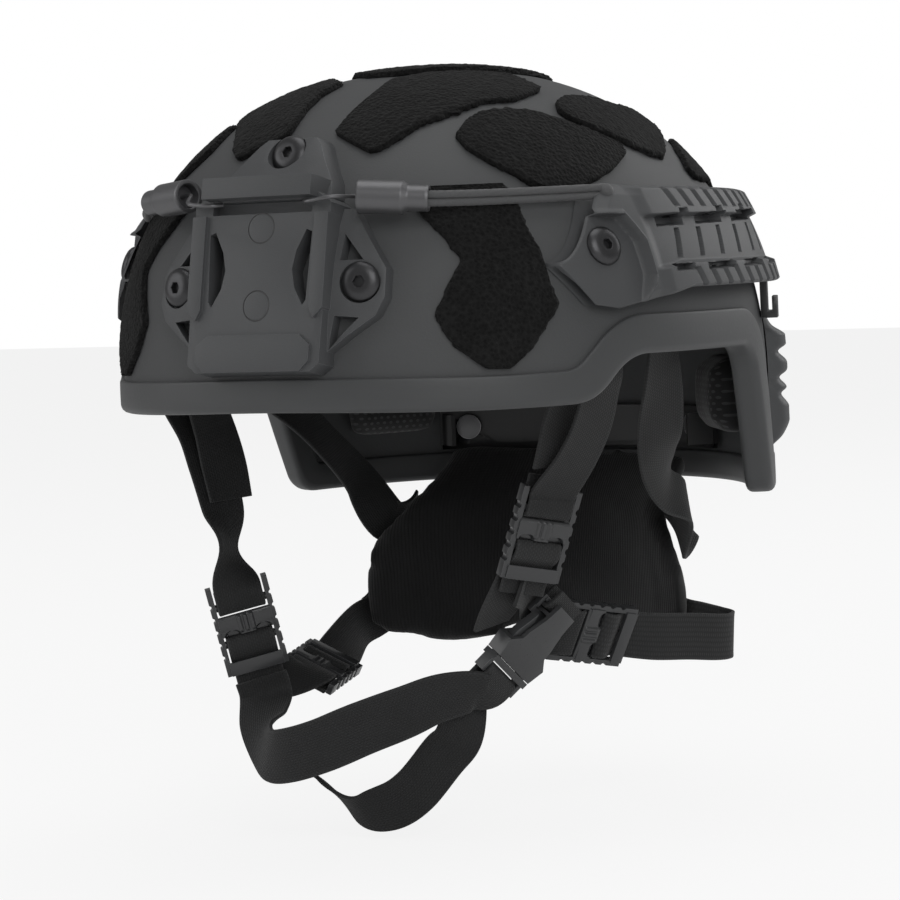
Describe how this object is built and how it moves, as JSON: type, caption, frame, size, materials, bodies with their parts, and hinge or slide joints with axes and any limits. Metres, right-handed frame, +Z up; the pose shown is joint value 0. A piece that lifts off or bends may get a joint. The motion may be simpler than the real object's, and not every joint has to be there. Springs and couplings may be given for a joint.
{
  "type": "combat helmet",
  "caption": "High-cut composite helmet with loop panels, front shroud, side rails, elastic lanyards, pad liner and webbing harness with a side-release chin buckle.",
  "frame": {"origin": "middle of the head opening, level with the bottom of the front rim", "axes": "+Z up as worn, -Y towards the face, +X towards the wearer's left"},
  "size_m": [0.262, 0.2894, 0.3109],
  "materials": {
    "shell": "moulded composite shell with fine matt paint",
    "trim": "smooth rubber edge trim",
    "loop": "short-pile loop fabric, dull black",
    "hard": "dark grey moulded nylon",
    "steel": "blackened steel, slightly worn",
    "post": "grey anodised aluminium",
    "ferrule": "dark turned aluminium",
    "cord": "elastic cord in a woven jacket",
    "liner": "padded mesh fabric",
    "web": "woven nylon webbing",
    "nape": "padded knitted fabric",
    "clipm": "black moulded plastic with a satin sheen",
    "buckle": "dark grey acetal"
  },
  "bodies": {
    "helmet": {"shell": "shell", "edge_trim": "trim", "loop_front_left": "loop", "loop_front_right": "loop", "loop_top_left": "loop", "loop_top_right": "loop", "loop_side_left": "loop", "loop_side_right": "loop", "loop_rear_top_left": "loop", "loop_rear_top_right": "loop", "loop_quarter_left": "loop", "loop_quarter_right": "loop", "loop_crown": "loop", "loop_back": "loop", "front_shroud": "hard", "shroud_screws": "steel", "shroud_posts": "post", "rail_left": "hard", "rail_right": "hard", "rail_screws": "steel", "strap_posts": "post", "clip_pins": "steel", "strap_guide_left": "hard", "strap_guide_right": "hard", "bungee_left": "cord", "bungee_right": "cord", "pad_front": "liner", "pad_crown": "liner", "pad_side_left": "liner", "pad_side_right": "liner", "pad_rear_left": "liner", "pad_rear_right": "liner", "pad_back": "liner", "rear_bracket": "hard", "bracket_studs": "post", "harness_bolts": "steel", "front_strap_left": "web", "front_strap_right": "web", "inner_strap_left": "web", "inner_strap_right": "web", "rear_strap_left": "web", "rear_strap_right": "web", "nape_pad": "nape", "junction_left": "web", "junction_right": "web", "socket_loop": "web", "nape_strap_left": "web", "nape_strap_right": "web", "buckle_socket": "buckle", "chin_strap": "web", "chin_strap_under": "web"},
    "lanyard_left": {"ferrule_left": "ferrule"},
    "lanyard_right": {"ferrule_right": "ferrule"},
    "clip_left": {"rail_clip_left": "clipm"},
    "clip_right": {"rail_clip_right": "clipm"},
    "adjuster_front_left": {"lock_front_left": "buckle"},
    "adjuster_front_right": {"lock_front_right": "buckle"},
    "adjuster_rear_left": {"lock_rear_left": "buckle"},
    "adjuster_rear_right": {"lock_rear_right": "buckle"},
    "plug": {"buckle_plug": "buckle"}
  },
  "joints": [
    {"name": "adjuster_front_left_tilt", "type": "hinge", "parent": "helmet", "child": "adjuster_front_left", "pos_m": [0.06802, -0.04718, -0.04599], "axis": [-0.5327, -0.8213, 0.2045], "range_deg": [0, 35], "deforming": ["junction_left"]},
    {"name": "adjuster_front_right_tilt", "type": "hinge", "parent": "helmet", "child": "adjuster_front_right", "pos_m": [-0.07303, -0.05567, -0.08426], "axis": [-0.7798, -0.5899, -0.2096], "range_deg": [0, 35], "deforming": ["junction_right"]},
    {"name": "adjuster_rear_left_tilt", "type": "hinge", "parent": "helmet", "child": "adjuster_rear_left", "pos_m": [0.0524, -0.00265, -0.1004], "axis": [-0.404, -0.0238, -0.9145], "range_deg": [0, 35], "deforming": ["nape_strap_left"]},
    {"name": "adjuster_rear_right_tilt", "type": "hinge", "parent": "helmet", "child": "adjuster_rear_right", "pos_m": [-0.06398, -0.01825, -0.11878], "axis": [0.8564, 0.2323, -0.461], "range_deg": [0, 35], "deforming": ["nape_strap_right"]},
    {"name": "buckle_release", "type": "slide", "parent": "helmet", "child": "plug", "axis": [-0.5796, -0.4646, -0.6695], "range_m": [0, 0.024], "deforming": ["chin_strap", "chin_strap_under"]},
    {"name": "lanyard_left_pull", "type": "slide", "parent": "helmet", "child": "lanyard_left", "axis": [-0.9259, -0.3704, 0.0741], "range_m": [0, 0.006], "stiffness_N_per_m": 200, "deforming": ["bungee_left"]},
    {"name": "lanyard_right_pull", "type": "slide", "parent": "helmet", "child": "lanyard_right", "axis": [0.9259, -0.3704, 0.0741], "range_m": [0, 0.006], "stiffness_N_per_m": 200, "deforming": ["bungee_right"]},
    {"name": "clip_left_swing", "type": "hinge", "parent": "helmet", "child": "clip_left", "pos_m": [0.11363, 0.066, 0.043], "axis": [0.3829, -0.9238, 0], "range_deg": [0, 60]},
    {"name": "clip_right_swing", "type": "hinge", "parent": "helmet", "child": "clip_right", "pos_m": [-0.11363, 0.066, 0.043], "axis": [0.3829, 0.9238, 0], "range_deg": [0, 60]}
  ]
}
